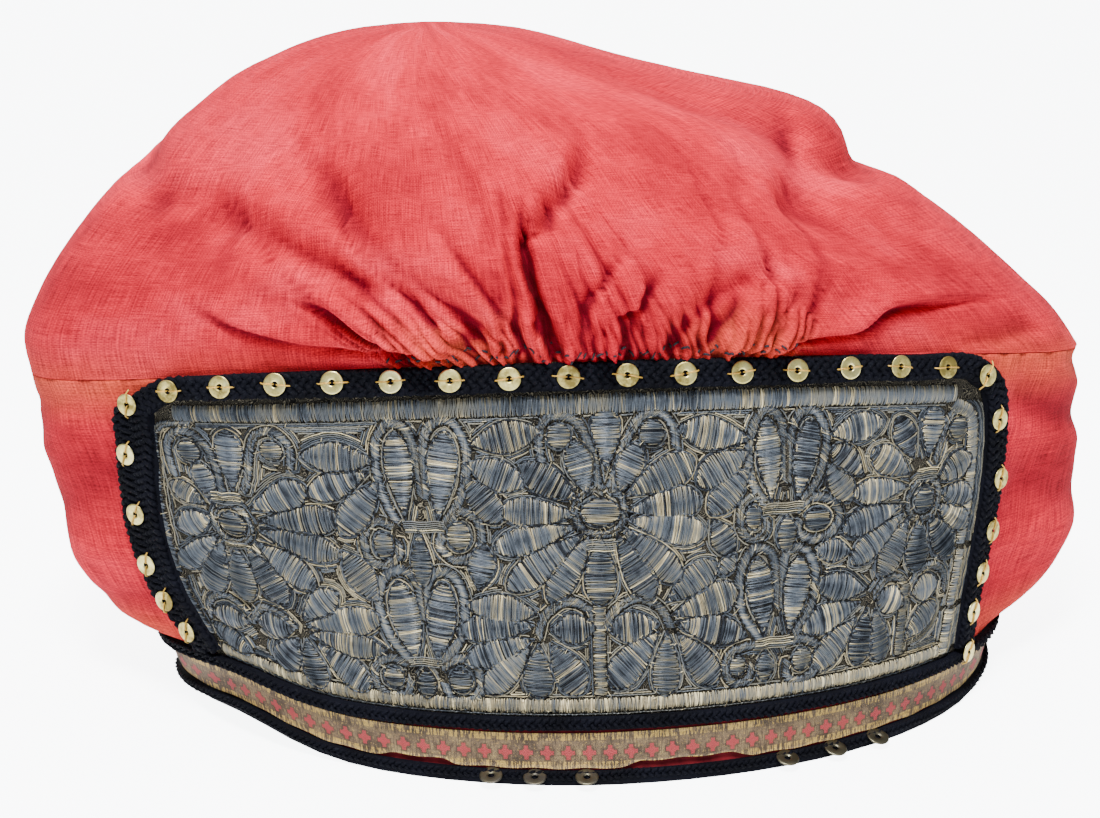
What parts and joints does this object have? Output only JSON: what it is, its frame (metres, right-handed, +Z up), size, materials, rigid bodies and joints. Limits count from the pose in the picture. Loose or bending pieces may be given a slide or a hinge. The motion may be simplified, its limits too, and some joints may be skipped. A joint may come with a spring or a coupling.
{
  "type": "embroidered headdress",
  "caption": "Soft gathered cloth cap with a stiff curved front panel of padded metal-thread embroidery, a braid frame with sequins and a ribboned rim, hollow for the head.",
  "frame": {"origin": "on the surface that the cap stands on, under the middle of its box", "axes": "+X to the wearer's left, which is the viewer's right, +Y to the back, away from the embroidered front, +Z up"},
  "size_m": [0.2734, 0.1645, 0.1585],
  "materials": {
    "red_cotton": "faded coral red plain-weave cotton, creased",
    "dark_red_lining": "worn dark red cotton",
    "silver_embroidery": "tarnished silver thread, couched and in padded satin stitch",
    "navy_braid": "plaited navy wool braid",
    "gold_ribbon": "tarnished gold ribbon with small woven red crosses",
    "brass_sequin": "pale brass discs, lightly tarnished"
  },
  "bodies": {
    "root": {"crown": "red_cotton", "side_band": "red_cotton", "front_panel": "silver_embroidery", "frame_braid": "navy_braid", "base_braid": "navy_braid", "ribbon": "gold_ribbon", "rim_braid": "navy_braid", "rim_lining": "dark_red_lining", "sequin_01": "brass_sequin", "sequin_02": "brass_sequin", "sequin_03": "brass_sequin", "sequin_04": "brass_sequin", "sequin_05": "brass_sequin", "sequin_06": "brass_sequin", "sequin_07": "brass_sequin", "sequin_08": "brass_sequin", "sequin_09": "brass_sequin", "sequin_10": "brass_sequin", "sequin_11": "brass_sequin", "sequin_12": "brass_sequin", "sequin_13": "brass_sequin", "sequin_14": "brass_sequin", "sequin_15": "brass_sequin", "sequin_16": "brass_sequin", "sequin_17": "brass_sequin", "sequin_18": "brass_sequin", "sequin_19": "brass_sequin", "sequin_20": "brass_sequin", "sequin_21": "brass_sequin", "sequin_22": "brass_sequin", "sequin_23": "brass_sequin", "sequin_24": "brass_sequin", "sequin_25": "brass_sequin", "sequin_26": "brass_sequin", "sequin_27": "brass_sequin", "sequin_28": "brass_sequin", "rim_sequin_01": "brass_sequin", "rim_sequin_02": "brass_sequin", "rim_sequin_03": "brass_sequin", "rim_sequin_04": "brass_sequin", "rim_sequin_05": "brass_sequin", "rim_sequin_06": "brass_sequin"}
  },
  "joints": []
}
